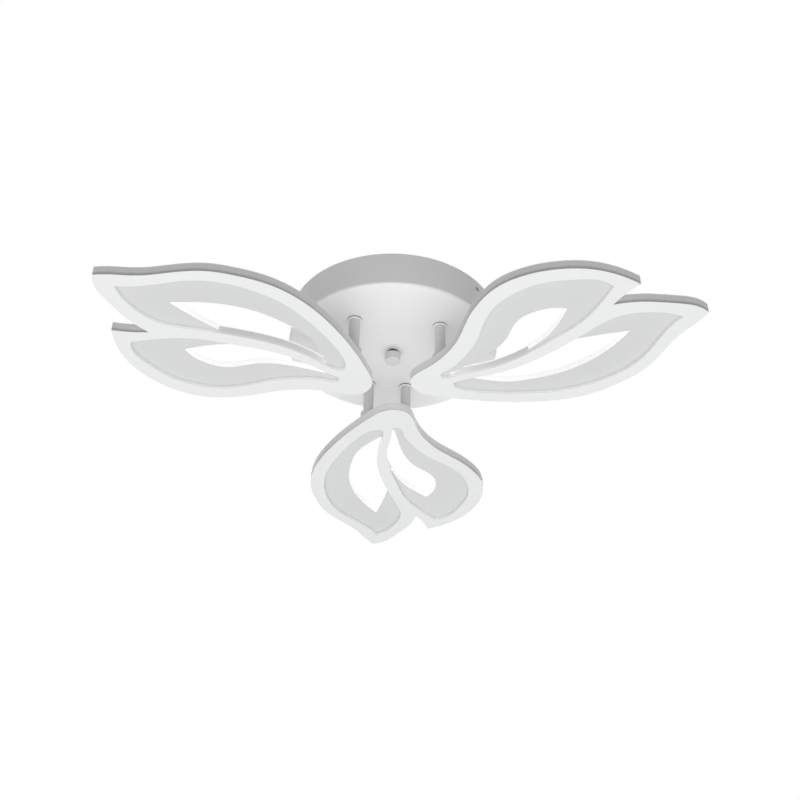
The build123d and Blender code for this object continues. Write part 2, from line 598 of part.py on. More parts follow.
# Transformer, two capacitors, a choke and a controller on the circuit board
TRANSFORMER = (16.0, 15.0, 12.0)
CAPACITOR_RADIUS = 5.0
CAPACITOR_HEIGHT = 12.5
CHOKE_RADIUS = 2.8
CHOKE_HEIGHT = 7.0
CONTROLLER = (5.0, 4.0, 1.6)
with BuildPart() as driver_components:
    with BuildSketch(Plane.XY.offset(CIRCUIT_TOP)):
        with Locations((-2, DRIVER_Y)):
            Rectangle(TRANSFORMER[0], TRANSFORMER[1])
    extrude(amount=TRANSFORMER[2])
    with BuildSketch(Plane.XY.offset(CIRCUIT_TOP)):
        with Locations((-24, DRIVER_Y + 3), (24, DRIVER_Y - 2)):
            Circle(CAPACITOR_RADIUS)
    extrude(amount=CAPACITOR_HEIGHT)
    with BuildSketch(Plane.XY.offset(CIRCUIT_TOP)):
        with Locations((-27, DRIVER_Y - 6.5)):
            Circle(CHOKE_RADIUS)
    extrude(amount=CHOKE_HEIGHT)
    with BuildSketch(Plane.XY.offset(CIRCUIT_TOP)):
        with Locations((13, DRIVER_Y + 5)):
            Rectangle(CONTROLLER[0], CONTROLLER[1])
    extrude(amount=CONTROLLER[2])

# Connector that gathers the three petals' leads, between the stud and the driver
CONNECTOR_X = 2.0
CONNECTOR_Y = -42.0
CONNECTOR_LENGTH = 26.0
CONNECTOR_WIDTH = 18.0
CONNECTOR_HEIGHT = 17.0
CLAMP_HOLE_RADIUS = 1.8
CLAMP_HOLE_DEPTH = 3.0
CLAMP_PITCH = 8.0
with BuildPart() as output_connector:
    with BuildSketch(Plane.XY.offset(CANOPY_INSIDE)):
        with Locations((CONNECTOR_X, CONNECTOR_Y)):
            RectangleRounded(CONNECTOR_LENGTH, CONNECTOR_WIDTH, 1.0)
    extrude(amount=CONNECTOR_HEIGHT)
    with BuildSketch(Plane.XY.offset(CANOPY_INSIDE + CONNECTOR_HEIGHT)):
        with Locations((CONNECTOR_X, CONNECTOR_Y)):
            with GridLocations(CLAMP_PITCH, CLAMP_PITCH, 3, 2):
                Circle(CLAMP_HOLE_RADIUS)
    extrude(amount=-CLAMP_HOLE_DEPTH, mode=Mode.SUBTRACT)

# Mains terminal block, and its three screws in their wells
TERMINAL_X = -73.0
TERMINAL_Y = 25.0
TERMINAL_SIZE = 22.0
TERMINAL_HEIGHT = 18.0
TERMINAL_WELL = 5.0
TERMINAL_WELL_RADIUS = 2.4
TERMINAL_PITCH = 7.0
TERMINAL_SCREW_RADIUS = 2.0
TERMINAL_SCREW_DEPTH = 2.5
terminal_screw_bottom = CANOPY_INSIDE + TERMINAL_HEIGHT - TERMINAL_WELL
with BuildPart() as terminal_block:
    with BuildSketch(Plane.XY.offset(CANOPY_INSIDE)):
        with Locations((TERMINAL_X, TERMINAL_Y)):
            RectangleRounded(TERMINAL_SIZE, TERMINAL_SIZE, 1.0)
    extrude(amount=TERMINAL_HEIGHT)
    with BuildSketch(Plane.XY.offset(CANOPY_INSIDE + TERMINAL_HEIGHT)):
        with Locations((TERMINAL_X, TERMINAL_Y)):
            with GridLocations(TERMINAL_PITCH, 1, 3, 1):
                Circle(TERMINAL_WELL_RADIUS)
    extrude(amount=-TERMINAL_WELL, mode=Mode.SUBTRACT)

with BuildPart() as terminal_screws:
    with BuildSketch(Plane.XY.offset(terminal_screw_bottom)):
        with Locations((TERMINAL_X, TERMINAL_Y)):
            with GridLocations(TERMINAL_PITCH, 1, 3, 1):
                Circle(TERMINAL_SCREW_RADIUS)
    extrude(amount=TERMINAL_SCREW_DEPTH)
    with BuildSketch(Plane.XY.offset(terminal_screw_bottom + TERMINAL_SCREW_DEPTH)):
        with Locations((TERMINAL_X, TERMINAL_Y)):
            with GridLocations(TERMINAL_PITCH, 1, 3, 1):
                Rectangle(3.4, 0.7)
    extrude(amount=-0.8, mode=Mode.SUBTRACT)


def bend_radii(route):
    """The bend radius at each inner point: 0.45 of the shorter run over the tangent of half the turn."""
    radii = []
    for before, here, after in zip(route, route[1:], route[2:]):
        run_in, run_out = Vector(here) - Vector(before), Vector(after) - Vector(here)
        half_turn = radians(run_in.get_angle(run_out) / 2)
        radii.append(0.45 * min(run_in.length, run_out.length) / tan(half_turn))
    return radii


def lead_along(route, radius, first_bend=None):
    """A round lead of straight runs and tangent arcs, cut square at both ends."""
    radii = bend_radii(route)
    if first_bend is not None:
        radii[0] = first_bend
    print("lead bends", [round(r, 1) for r in radii])
    with BuildPart() as lead:
        with BuildLine():
            path = FilletPolyline(*route, radius=radii)
        with BuildSketch(Plane(origin=path @ 0, z_dir=path % 0)):
            Circle(radius)
        sweep()
    section = pi * radius**2
    print("lead volume over section times length", round(lead.part.volume / (section * path.length), 4))
    return lead.part


# Leads: each comes up one rod of its petal from the LED board and crosses the canopy to the connector.
# The bend out of the rod is kept small, because the rod's end and the canopy's depth leave no more room.
LEAD_SIDESTEP = (-2.0, -1.66)
LEAD_BEND = 8.0
lead_x = MAJOR_ROD[0] + LEAD_SIDESTEP[0]
lead_y = MAJOR_ROD[1] + LEAD_SIDESTEP[1]
connector_left = CONNECTOR_X - CONNECTOR_LENGTH / 2
connector_right = CONNECTOR_X + CONNECTOR_LENGTH / 2
connector_back = CONNECTOR_Y + CONNECTOR_WIDTH / 2
connector_front = CONNECTOR_Y - CONNECTOR_WIDTH / 2
rear_x, rear_y = turned(lead_x, lead_y, 0)
left_x, left_y = turned(lead_x, lead_y, 120)
right_x, right_y = turned(lead_x, lead_y, 240)
RIGHT_ENTRY_Y = -42.0
lead_routes = {
    "rear": [
        (rear_x, rear_y, BACK_BOTTOM), (rear_x, rear_y, LEAD_LEVEL), (-22, 10, LEAD_LEVEL),
        (CONNECTOR_X, -14, LEAD_LEVEL), (CONNECTOR_X, connector_back, LEAD_LEVEL),
    ],
    "left": [
        (left_x, left_y, BACK_BOTTOM), (left_x, left_y, LEAD_LEVEL), (connector_left, left_y, LEAD_LEVEL),
    ],
    "right": [
        (right_x, right_y, BACK_BOTTOM), (right_x, right_y, LEAD_LEVEL), (42, RIGHT_ENTRY_Y, LEAD_LEVEL),
        (connector_right, RIGHT_ENTRY_Y, LEAD_LEVEL),
    ],
}
petal_leads = {side: lead_along(route, LEAD_RADIUS, LEAD_BEND) for side, route in lead_routes.items()}

MAINS_LEVEL = -24.0
driver_end = -DRIVER_LENGTH / 2
input_lead = lead_along(
    [
        (driver_end, -66, MAINS_LEVEL), (-60, -66, MAINS_LEVEL), (-74, -40, MAINS_LEVEL),
        (-74, TERMINAL_Y - TERMINAL_SIZE / 2, MAINS_LEVEL),
    ],
    MAINS_LEAD_RADIUS,
)
with BuildPart() as output_lead:
    with BuildSketch(Plane.XZ.offset(-connector_front)):
        with Locations((CONNECTOR_X, LEAD_LEVEL)):
            Circle(OUTPUT_LEAD_RADIUS)
    extrude(amount=connector_front - DRIVER_Y - DRIVER_WIDTH / 2)

# Everything is written out, the petal's pieces once for each of the three petals
petal_pieces = {
    "diffuser": diffuser.part,
    "major_light_plate": major_plate.part,
    "minor_light_plate": minor_plate.part,
    "back_plate": back_plate.part,
    "led_board": led_board.part,
    "leds": leds.part,
    "board_screws": board_screws.part,
    "ring_screws": ring_screws.part,
    "rod_feet": rod_feet.part,
    "major_rod": major_rod,
    "minor_rod": minor_rod,
    "rod_nuts": rod_nuts.part,
}
pieces = {
    "canopy_cover": canopy_cover.part,
    "side_bushes": side_bushes.part,
    "side_screws": side_screws.part,
    "wall_screw": wall_screw.part,
    "wall_screw_nut": wall_screw_nut.part,
    "mounting_plate": mounting_plate,
    "centre_stud": centre_stud.part,
    "earth_washer": earth_washer,
    "earth_screw": earth_screw,
    "cap_washer": cap_washer.part,
    "cap_nut": cap_nut.part,
    "driver_lower_case": driver_lower_case.part,
    "driver_upper_case": driver_upper_case.part,
    "driver_circuit": driver_circuit.part,
    "driver_components": driver_components.part,
    "output_connector": output_connector.part,
    "output_lead": output_lead.part,
    "terminal_block": terminal_block.part,
    "terminal_screws": terminal_screws.part,
    "input_lead": input_lead,
}
for side, angle in (("rear", 0), ("left", 120), ("right", 240)):
    for name, solid in petal_pieces.items():
        pieces[side + "_" + name] = solid.rotate(Axis.Z, angle)
    pieces[side + "_lead"] = petal_leads[side]

for name, solid in pieces.items():
    solid.label = name
    export_step(solid, "parts/" + name + ".step")
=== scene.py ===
# %% [markdown]
# # A ceiling light with three leaf-shaped rings
# The real light hangs under a ceiling: a white steel canopy, six short rods, and three flat petals of opal
# acrylic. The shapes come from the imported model, in metres, with Z up and the ceiling at z = 0. Here they get
# softened edges, materials with real grain, a camera and soft light.

# %% Load the model and note its box
import math

import bmesh
import bpy
from mathutils import Matrix, Vector
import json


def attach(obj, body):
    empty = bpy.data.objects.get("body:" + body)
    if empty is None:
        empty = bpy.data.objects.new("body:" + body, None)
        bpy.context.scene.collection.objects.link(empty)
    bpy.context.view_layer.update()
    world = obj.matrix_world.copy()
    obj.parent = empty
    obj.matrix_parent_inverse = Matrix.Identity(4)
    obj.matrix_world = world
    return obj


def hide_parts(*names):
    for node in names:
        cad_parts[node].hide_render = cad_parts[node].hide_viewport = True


SIDES = ("rear", "left", "right")

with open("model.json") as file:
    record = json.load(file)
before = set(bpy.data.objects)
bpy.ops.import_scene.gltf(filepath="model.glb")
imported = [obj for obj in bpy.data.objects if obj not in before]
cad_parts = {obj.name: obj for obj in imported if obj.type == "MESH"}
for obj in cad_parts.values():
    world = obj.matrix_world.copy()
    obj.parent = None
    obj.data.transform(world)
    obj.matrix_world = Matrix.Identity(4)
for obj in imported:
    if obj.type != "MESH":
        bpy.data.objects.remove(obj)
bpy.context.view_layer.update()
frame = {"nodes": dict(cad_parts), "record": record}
nodes = frame["nodes"]


def in_mm(*corners):
    """The numbers of one or more points in millimetres, for printing."""
    return [round(value * 1000, 1) for corner in corners for value in corner]


# %% [markdown]
# ## The camera
# The photograph was taken from below and in front, looking up at the petals. A camera is fully told by its
# place, its turn and its lens, so the three are set as numbers rather than by constraints, which other views
# would inherit. The pitch is how far it looks up from level, and the roll is the small lean of the picture.

# %% Camera at the photograph's angle
SENSOR_MM = 36.0
LENS_MM = 51.85
FAR_LIMIT = 50.0
PITCH = math.radians(34.80)
ROLL = math.radians(0.81)
CAMERA_PLACE = (0.0075, -0.8839, -0.7068)

camera_data = bpy.data.cameras.new("studio_camera")
camera_data.sensor_width = SENSOR_MM
camera_data.lens = LENS_MM
camera_data.clip_end = FAR_LIMIT
camera = bpy.data.objects.new("studio_camera", camera_data)
bpy.context.collection.objects.link(camera)

look = Vector((0.0, math.cos(PITCH), math.sin(PITCH)))
up = Vector((0.0, -math.sin(PITCH), math.cos(PITCH)))
right = Vector((1.0, 0.0, 0.0))
picture_right = right * math.cos(ROLL) + up * math.sin(ROLL)
picture_up = up * math.cos(ROLL) - right * math.sin(ROLL)
turn = Matrix((picture_right, picture_up, -look)).transposed().to_4x4()
camera.matrix_world = Matrix.Translation(CAMERA_PLACE) @ turn
bpy.context.scene.camera = camera
bpy.context.scene.view_settings.view_transform = "Standard"
print("camera at mm", in_mm(camera.location))

# %% [markdown]
# ## Floor and white surroundings
# The light hangs, so the floor lies a high room's height below it, under the lowest lamp. It only shows in
# views from above. The world is white to the camera and to reflections, but gives the object a plainer,
# weaker light, so that pale surfaces keep their tone. Light Path tells the kinds of ray apart.

# %% Floor
FLOOR_Z = -3.2
FLOOR_REACH = 12.0

floor_mesh = bpy.data.meshes.new("studio_floor")
shape = bmesh.new()
bmesh.ops.create_grid(shape, x_segments=1, y_segments=1, size=FLOOR_REACH)
bmesh.ops.translate(shape, verts=shape.verts, vec=(0.0, 0.0, FLOOR_Z))
shape.to_mesh(floor_mesh)
shape.free()
floor = bpy.data.objects.new("studio_floor", floor_mesh)
bpy.context.collection.objects.link(floor)
print("floor at z", FLOOR_Z)

# %% A Math node in one call


def calculate(tree, operation, first, second=None, clamp=False):
    """The result of a Math node on a socket and, if there is one, a second socket or a number."""
    node = tree.nodes.new("ShaderNodeMath")
    node.operation = operation
    node.use_clamp = clamp
    tree.links.new(first, node.inputs[0])
    if isinstance(second, float):
        node.inputs[1].default_value = second
    elif second is not None:
        tree.links.new(second, node.inputs[1])
    return node.outputs[0]


# %% World
FILL_STRENGTH = 0.2
FILL_COLOUR = (0.97, 0.985, 1.0, 1.0)
SEEN_STRENGTH = 1.0
SEEN_COLOUR = (1.0, 1.0, 1.0, 1.0)

world = bpy.data.worlds.new("studio_world")
bpy.context.scene.world = world
world.use_nodes = True
sky = world.node_tree
sky.nodes.clear()
choose = sky.nodes.new("ShaderNodeMixShader")
for slot, colour, strength in ((1, FILL_COLOUR, FILL_STRENGTH), (2, SEEN_COLOUR, SEEN_STRENGTH)):
    background = sky.nodes.new("ShaderNodeBackground")
    background.inputs["Color"].default_value = colour
    background.inputs["Strength"].default_value = strength
    sky.links.new(background.outputs[0], choose.inputs[slot])

paths = sky.nodes.new("ShaderNodeLightPath")
is_seen = paths.outputs["Is Camera Ray"]
for kind in ("Is Transmission Ray", "Is Glossy Ray"):
    is_seen = calculate(sky, "MAXIMUM", is_seen, paths.outputs[kind])
sky.links.new(is_seen, choose.inputs[0])
sky_out = sky.nodes.new("ShaderNodeOutputWorld")
sky.links.new(choose.outputs[0], sky_out.inputs["Surface"])
print("world fill strength", FILL_STRENGTH)

# %% [markdown]
# ## Soft lamps
# A face that looks down is much brighter in the photograph than the walls, so most of the light comes from a
# very large soft lamp below. A weak one on the camera's side fills the shade between the petals, and one
# above keeps the top readable. Large lamps give soft edges to every shadow. Area lamps are hidden from the
# camera, because only their light is wanted.

# %% Lamps


def soft_lamp(name, place, aim, size, watts):
    """A square area lamp at a place, turned towards a point."""
    data = bpy.data.lights.new(name, "AREA")
    data.shape = "SQUARE"
    data.size = size
    data.energy = watts
    lamp = bpy.data.objects.new(name, data)
    lamp.location = place
    lamp.rotation_euler = (Vector(aim) - Vector(place)).to_track_quat("-Z", "Y").to_euler()
    lamp.visible_camera = False
    bpy.context.collection.objects.link(lamp)
    print(name, "watts", watts)


LIGHT_CENTRE = (0.0, 0.0, -0.05)
soft_lamp("lamp_below", place=(0.0, -0.5, -2.4), aim=(0.0, -0.5, 0.0), size=8.0, watts=166.0)
soft_lamp("lamp_front", place=(0.0, -2.2, -1.9), aim=LIGHT_CENTRE, size=1.6, watts=14.0)
soft_lamp("lamp_above", place=(0.0, 1.2, 1.8), aim=LIGHT_CENTRE, size=3.0, watts=46.0)

# %% [markdown]
# ## Effects that several finishes share
# Paint, acrylic and moulded plastic all have a fine grain and a slow mottling from handling, and some have
# streaks along one direction. Each effect is a node group that is built once. A group here gives out a mask
# from 0 to 1, and every material decides what the mask does. Noise on Object coordinates stays put on the
# piece. Its values crowd round the middle, so the middle part is stretched over the whole range.

# %% Node group helpers


def new_group(name, **inputs):
    """A shader node group that gives out a mask. An input without a value is a vector."""
    tree = bpy.data.node_groups.new(name, "ShaderNodeTree")
    for label, value in inputs.items():
        kind = "NodeSocketVector" if value is None else "NodeSocketFloat"
        socket = tree.interface.new_socket(name=label, in_out="INPUT", socket_type=kind)
        if value is not None:
            socket.default_value = value
    tree.interface.new_socket(name="Mask", in_out="OUTPUT", socket_type="NodeSocketFloat")
    return tree, tree.nodes.new("NodeGroupInput"), tree.nodes.new("NodeGroupOutput")


def spread(tree, source, low, high):
    """Stretches a value between low and high over 0 to 1."""
    node = tree.nodes.new("ShaderNodeMapRange")
    tree.links.new(source, node.inputs["Value"])
    node.inputs["From Min"].default_value = low
    node.inputs["From Max"].default_value = high
    return node.outputs["Result"]


# %% Fine grain
NOISE_MIDDLE = (0.3, 0.7)

fine_grain, grain_in, grain_out = new_group("fine_grain", Vector=None, Scale=900.0, Detail=2.0)
noise = fine_grain.nodes.new("ShaderNodeTexNoise")
for label in ("Vector", "Scale", "Detail"):
    fine_grain.links.new(grain_in.outputs[label], noise.inputs[label])
grain_mask = spread(fine_grain, noise.outputs["Fac"], *NOISE_MIDDLE)
fine_grain.links.new(grain_mask, grain_out.inputs["Mask"])

# %% Slow mottling
mottling, mottling_in, mottling_out = new_group("mottling", Vector=None, Scale=14.0)
broad = mottling.nodes.new("ShaderNodeTexNoise")
broad.inputs["Detail"].default_value = 3.0
broad.inputs["Roughness"].default_value = 0.45
for label in ("Vector", "Scale"):
    mottling.links.new(mottling_in.outputs[label], broad.inputs[label])
mottling_mask = spread(mottling, broad.outputs["Fac"], *NOISE_MIDDLE)
mottling.links.new(mottling_mask, mottling_out.inputs["Mask"])

# %% Streaks along Z, as a laser or a saw leaves them on a cut wall
STREAK_MIDDLE = (0.32, 0.68)

cut_streaks, streaks_in, streaks_out = new_group("cut_streaks", Vector=None, Across=420.0, Along=12.0)
streak_scale = cut_streaks.nodes.new("ShaderNodeCombineXYZ")
for axis, label in (("X", "Across"), ("Y", "Across"), ("Z", "Along")):
    cut_streaks.links.new(streaks_in.outputs[label], streak_scale.inputs[axis])
stretch = cut_streaks.nodes.new("ShaderNodeVectorMath")
stretch.operation = "MULTIPLY"
cut_streaks.links.new(streaks_in.outputs["Vector"], stretch.inputs[0])
cut_streaks.links.new(streak_scale.outputs[0], stretch.inputs[1])
streak_noise = cut_streaks.nodes.new("ShaderNodeTexNoise")
streak_noise.inputs["Scale"].default_value = 1.0
streak_noise.inputs["Detail"].default_value = 2.5
cut_streaks.links.new(stretch.outputs[0], streak_noise.inputs["Vector"])
streak_mask = spread(cut_streaks, streak_noise.outputs["Fac"], *STREAK_MIDDLE)
cut_streaks.links.new(streak_mask, streaks_out.inputs["Mask"])

# %% Wall mask: 1 on upright walls, 0 on level faces
LEVEL_FACE_Z = 0.75
UPRIGHT_WALL_Z = 0.35

upright, _, upright_out = new_group("upright")
facing = upright.nodes.new("ShaderNodeNewGeometry")
parts_of_normal = upright.nodes.new("ShaderNodeSeparateXYZ")
upright.links.new(facing.outputs["Normal"], parts_of_normal.inputs[0])
level = calculate(upright, "ABSOLUTE", parts_of_normal.outputs["Z"])
upright.links.new(spread(upright, level, LEVEL_FACE_Z, UPRIGHT_WALL_Z), upright_out.inputs["Mask"])
print("node groups", sorted(group.name for group in bpy.data.node_groups))

# %% [markdown]
# ## Material helpers
# Each finish is a Principled BSDF with Object coordinates. Its constant values are set on the shader's own
# sockets, and only what changes over the surface comes through nodes. Three small helpers keep the materials
# short: one blends two colours by a mask, one blends two numbers, and one turns a mask into a bump.

# %% Start of a material, blends and bumps


def new_finish(name, **constants):
    """A material with its Principled BSDF, a Texture Coordinate node and constant sockets."""
    material = bpy.data.materials.new(name)
    material.use_nodes = True
    tree = material.node_tree
    shader = tree.nodes["Principled BSDF"]
    for label, value in constants.items():
        shader.inputs[label.replace("_", " ")].default_value = value
    where = tree.nodes.new("ShaderNodeTexCoord")
    return material, tree, shader, where.outputs["Object"]


def place_group(tree, group, vector=None, **values):
    """One use of a shared effect, with its own values, giving its mask."""
    node = tree.nodes.new("ShaderNodeGroup")
    node.node_tree = group
    if vector is not None:
        tree.links.new(vector, node.inputs["Vector"])
    for label, value in values.items():
        node.inputs[label].default_value = value
    return node.outputs["Mask"]


def blend_colours(tree, mask, first, second):
    """Goes from the first colour to the second as the mask goes from 0 to 1. Either may be a socket."""
    node = tree.nodes.new("ShaderNodeMix")
    node.data_type = "RGBA"
    tree.links.new(mask, node.inputs["Factor"])
    for label, colour in (("A", first), ("B", second)):
        socket = next(s for s in node.inputs if s.name == label and s.type == "RGBA")
        if isinstance(colour, tuple):
            socket.default_value = (*colour, 1.0)
        else:
            tree.links.new(colour, socket)
    return next(s for s in node.outputs if s.type == "RGBA")


def blend_values(tree, mask, first, second):
    """A number that goes from first to second with the mask."""
    node = tree.nodes.new("ShaderNodeMapRange")
    tree.links.new(mask, node.inputs["Value"])
    node.inputs["To Min"].default_value = first
    node.inputs["To Max"].default_value = second
    return node.outputs["Result"]


def add_bump(tree, shader, height, depth, strength=0.5):
    """Turns a mask into relief of the given depth in metres."""
    node = tree.nodes.new("ShaderNodeBump")
    node.inputs["Strength"].default_value = strength
    node.inputs["Distance"].default_value = depth
    tree.links.new(height, node.inputs["Height"])
    tree.links.new(node.outputs["Normal"], shader.inputs["Normal"])


# %% [markdown]
# ## White powder coat
# The canopy, rods, feet and back plates are steel with a baked powder coat. It is a satin white with a faint
# orange peel: a soft relief about a millimetre wide. A noise bump gives the peel, and a slow mottling moves
# the roughness a little, so highlights aren't even. The cap nut has a smoother enamel of the same kind.

# %% Powder coat
PEEL_DEPTH = 0.00002


def powder_coat(name, pale, shade, peel_scale=650.0, roughness=(0.40, 0.52)):
    """Baked white paint on metal, between two near whites."""
    material, tree, shader, vector = new_finish(name, Coat_Weight=0.12, Coat_Roughness=0.25)
    slow = place_group(tree, mottling, vector, Scale=16.0)
    peel = place_group(tree, fine_grain, vector, Scale=peel_scale, Detail=1.0)
    tree.links.new(blend_colours(tree, slow, pale, shade), shader.inputs["Base Color"])
    tree.links.new(blend_values(tree, slow, *roughness), shader.inputs["Roughness"])
    add_bump(tree, shader, peel, PEEL_DEPTH)
    return material


canopy_paint = powder_coat("canopy_powder_coat", pale=(0.90, 0.90, 0.90), shade=(0.88, 0.88, 0.882))
back_paint = powder_coat("back_plate_powder_coat", pale=(0.86, 0.86, 0.855), shade=(0.83, 0.83, 0.825))
cap_paint = powder_coat(
    "cap_enamel", pale=(0.73, 0.73, 0.73), shade=(0.70, 0.70, 0.70), roughness=(0.28, 0.36)
)
print("powder coats of the canopy, back plates and cap made")

# %% [markdown]
# ## Paint of the rods
# The rods and feet have the same coat with a finer peel, and stand in the shade of the canopy and petals, so
# their paint is made greyer, as painted shade. At the canopy a rod has a thin collar: its lower face is painted
# pale, as painted light, and its wall is painted dark, as painted shade in the gap at the canopy. Just above
# the foot that the rod stands in there is a softer band of painted shade, where the rod meets the foot. All
# lie at fixed heights, so they are bands of Object Z. Each starts softly, and ends out of sight inside the
# canopy or the foot.

# %% Bands of painted light and shade at set heights
SOFT_START = 0.0003


def painted_light_and_shade_bands(material, bands):
    """Paints light or shade into a material between two heights, soft at the first and ending at the second."""
    tree = material.node_tree
    shader = tree.nodes["Principled BSDF"]
    painted = shader.inputs["Base Color"].links[0].from_socket
    where = tree.nodes.new("ShaderNodeTexCoord")
    parts_of_place = tree.nodes.new("ShaderNodeSeparateXYZ")
    tree.links.new(where.outputs["Object"], parts_of_place.inputs[0])
    height = parts_of_place.outputs["Z"]
    for start, end, colour in bands:
        upwards = end > start
        begun = spread(tree, height, start, start + (SOFT_START if upwards else -SOFT_START))
        within = calculate(tree, "LESS_THAN" if upwards else "GREATER_THAN", height, end)
        painted = blend_colours(tree, calculate(tree, "MULTIPLY", begun, within), painted, colour)
    tree.links.new(painted, shader.inputs["Base Color"])


# %% Rod and foot paint
# Painted light on the collar's lower face, and painted shade on the collar's wall and just above the foot.
COLLAR_PAINTED_LIGHT = (0.92, 0.92, 0.92)
COLLAR_PAINTED_SHADE = (0.05, 0.05, 0.05)
FOOT_PAINTED_SHADE = (0.20, 0.20, 0.20)
COLLAR_FACE_START = -0.0376
COLLAR_WALL_START = -0.0371
INSIDE_CANOPY = -0.0355
FOOT_LINE_START = -0.0690
INSIDE_FOOT = -0.0716
FINE_PEEL = 900.0

# The rods and feet are greyer than the canopy, as painted shade.
rod_paint = powder_coat(
    "rod_powder_coat", pale=(0.68, 0.68, 0.685), shade=(0.64, 0.64, 0.645), peel_scale=FINE_PEEL
)
painted_light_and_shade_bands(
    rod_paint,
    [
        (COLLAR_FACE_START, INSIDE_CANOPY, COLLAR_PAINTED_LIGHT),
        (COLLAR_WALL_START, INSIDE_CANOPY, COLLAR_PAINTED_SHADE),
        (FOOT_LINE_START, INSIDE_FOOT, FOOT_PAINTED_SHADE),
    ],
)
foot_paint = powder_coat(
    "foot_powder_coat", pale=(0.74, 0.74, 0.745), shade=(0.70, 0.70, 0.705), peel_scale=FINE_PEEL
)
print("paint of rods and feet made")

# %% [markdown]
# ## Opal acrylic ring
# The ring is cut by laser from opal acrylic. Its lower face is an even, very slightly cold white. Its outer
# wall is duller, with a hint of green that edge-on acrylic has, and with fine upright streaks from the cut.
# It is painted lighter towards the root of the petal and darker towards the tip, as painted light and shade,
# and has a lighter band along its upper edge, next to the steel back. The lip round a sunk plate is painted
# pale, as painted light, with a line of painted shade beside the plate. The upright mask tells wall from face,
# and a face attribute called outer_wall, which is set when the ring is made, tells the outer wall from the
# lip. The walls inside the openings have a weak painted glow, as painted light for the light that acrylic
# carries to its cut edges, and the edge of the white steel back above them has the same painted glow.

# %% Painted glow of the cuts
RING_PAINTED_GLOW = 0.06
PLATE_PAINTED_GLOW = 0.38
BACK_PAINTED_GLOW = 0.42


def painted_cut_glow(tree, shader, on_wall, glow):
    """Gives the walls inside a piece a weak even glow as painted light, and leaves out the wall marked as
    outer_wall.
    """
    outside = tree.nodes.new("ShaderNodeAttribute")
    outside.attribute_name = "outer_wall"
    inside = calculate(tree, "SUBTRACT", on_wall, outside.outputs["Fac"], clamp=True)
    lit = blend_colours(tree, inside, (0.0, 0.0, 0.0), (glow, glow, glow))
    tree.links.new(lit, shader.inputs["Emission Color"])
    shader.inputs["Emission Strength"].default_value = 1.0
    return outside.outputs["Fac"]


# The upright walls of the white steel back get a painted glow, as painted light.
back_tree = back_paint.node_tree
painted_cut_glow(back_tree, back_tree.nodes["Principled BSDF"], place_group(back_tree, upright), BACK_PAINTED_GLOW)
print("glow of the cuts", RING_PAINTED_GLOW, PLATE_PAINTED_GLOW, BACK_PAINTED_GLOW)

# %% Opal acrylic: where on the ring
ACRYLIC_IOR = 1.49
ROOT_REACH, TIP_REACH = 0.05, 0.20
UPPER_BAND = (-0.0868, -0.0842)
# Heights of the line of painted shade beside the plate.
PLATE_SHADE_HEIGHTS = (-0.0858, -0.0853)

opal, tree, shader, vector = new_finish(
    "opal_acrylic_ring", IOR=ACRYLIC_IOR, Coat_Weight=0.06, Coat_Roughness=0.2
)
on_wall = place_group(tree, upright)
# The ring's inner walls get a weak painted glow, as painted light.
outside = painted_cut_glow(tree, shader, on_wall, RING_PAINTED_GLOW)
place = tree.nodes.new("ShaderNodeSeparateXYZ")
tree.links.new(vector, place.inputs[0])
flat_place = tree.nodes.new("ShaderNodeVectorMath")
flat_place.operation = "MULTIPLY"
flat_place.inputs[1].default_value = (1.0, 1.0, 0.0)
tree.links.new(vector, flat_place.inputs[0])
reach = tree.nodes.new("ShaderNodeVectorMath")
reach.operation = "LENGTH"
tree.links.new(flat_place.outputs[0], reach.inputs[0])
towards_tip = spread(tree, reach.outputs["Value"], ROOT_REACH, TIP_REACH)
upper_band = spread(tree, place.outputs["Z"], *UPPER_BAND)
plate_shade = spread(tree, place.outputs["Z"], *PLATE_SHADE_HEIGHTS)
slow = place_group(tree, mottling, vector, Scale=9.0)
streak = place_group(tree, cut_streaks, vector, Across=520.0, Along=14.0)

# %% Opal acrylic: colours and relief
UPPER_BAND_SHARE = 0.7
PLATE_SHADE_SHARE = 0.3
CUT_DEPTH = 0.00004

face_colour = blend_colours(tree, slow, (0.83, 0.835, 0.835), (0.805, 0.81, 0.81))
# The outer wall is painted lighter at the root and darker at the tip, as painted light and shade.
root_colour = blend_colours(tree, streak, (0.84, 0.84, 0.825), (0.79, 0.79, 0.775))
tip_colour = blend_colours(tree, streak, (0.50, 0.503, 0.48), (0.42, 0.423, 0.40))
cut_colour = blend_colours(tree, towards_tip, root_colour, tip_colour)
band_mask = blend_values(tree, upper_band, 0.0, UPPER_BAND_SHARE)
banded_colour = blend_colours(tree, band_mask, cut_colour, (0.90, 0.90, 0.885))
# The lip is painted pale as painted light, with a line of painted shade beside the plate.
plate_shade_mask = blend_values(tree, plate_shade, 0.0, PLATE_SHADE_SHARE)
lip_painted_light_and_shade = blend_colours(tree, plate_shade_mask, (0.86, 0.86, 0.855), (0.50, 0.50, 0.49))
wall_colour = blend_colours(tree, outside, lip_painted_light_and_shade, banded_colour)
tree.links.new(blend_colours(tree, on_wall, face_colour, wall_colour), shader.inputs["Base Color"])
tree.links.new(blend_values(tree, on_wall, 0.34, 0.55), shader.inputs["Roughness"])
add_bump(tree, shader, calculate(tree, "MULTIPLY", streak, on_wall), CUT_DEPTH, strength=0.6)
print("opal acrylic made")

# %% [markdown]
# ## Frosted light plates
# The plates set back inside the ring are frosted: light grey-white and quite matt, with a very fine tooth
# that one sees close up. Their cut edges have no frosting, and are painted paler than the face and given a
# weak glow, as painted light.

# %% Frosted acrylic
TOOTH_DEPTH = 0.000012

